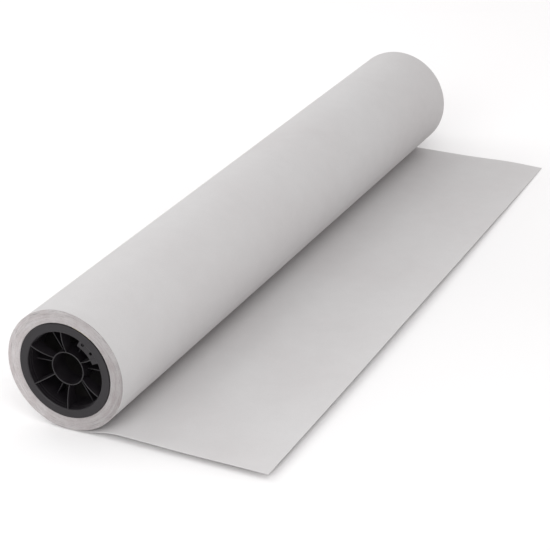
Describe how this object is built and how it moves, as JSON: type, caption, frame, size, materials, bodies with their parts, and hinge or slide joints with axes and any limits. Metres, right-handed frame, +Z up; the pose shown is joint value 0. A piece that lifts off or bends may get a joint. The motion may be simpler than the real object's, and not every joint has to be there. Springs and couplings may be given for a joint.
{
  "type": "backdrop paper roll",
  "caption": "Wide roll of backdrop paper on a card core with spoked plastic end plugs, its loose end run out flat on the floor.",
  "frame": {"origin": "on the floor, under the middle of the whole footprint, roll and loose sheet together", "axes": "+Z up; +Y along the roll's axis, from the near plug to the far plug; +X from the roll towards the free edge of the loose sheet"},
  "size_m": [0.3086, 0.9174, 0.1419],
  "materials": {
    "paper": "matte uncoated paper",
    "card": "matte dark grey-brown spiral-wound card",
    "tape": "matte masking tape",
    "plug_plastic": "satin black moulded plastic"
  },
  "bodies": {
    "floor_sheet": {"loose_sheet": "paper"},
    "carriage": {"unrolling_sheet": "paper"},
    "roll": {"wound_paper": "paper", "core_tube": "card", "core_tape": "tape"},
    "near_plug": {"near_plug": "plug_plastic"},
    "far_plug": {"far_plug": "plug_plastic"}
  },
  "joints": [
    {"name": "roll_travel", "type": "slide", "parent": "floor_sheet", "child": "carriage", "axis": [-1, 0, 0], "range_m": [0, 0.2]},
    {"name": "roll_spin", "type": "hinge", "parent": "carriage", "child": "roll", "pos_m": [-0.0837, 0, 0.0714], "axis": [0, -1, 0], "range_deg": [0, 162.8]},
    {"name": "near_plug_pull", "type": "slide", "parent": "roll", "child": "near_plug", "axis": [0, -1, 0], "range_m": [0, 0.04]},
    {"name": "far_plug_pull", "type": "slide", "parent": "roll", "child": "far_plug", "axis": [0, 1, 0], "range_m": [0, 0.04]}
  ],
  "couplings": [
    {"joint": "roll_spin", "follows": "roll_travel", "rad_per_m": 14.164}
  ]
}
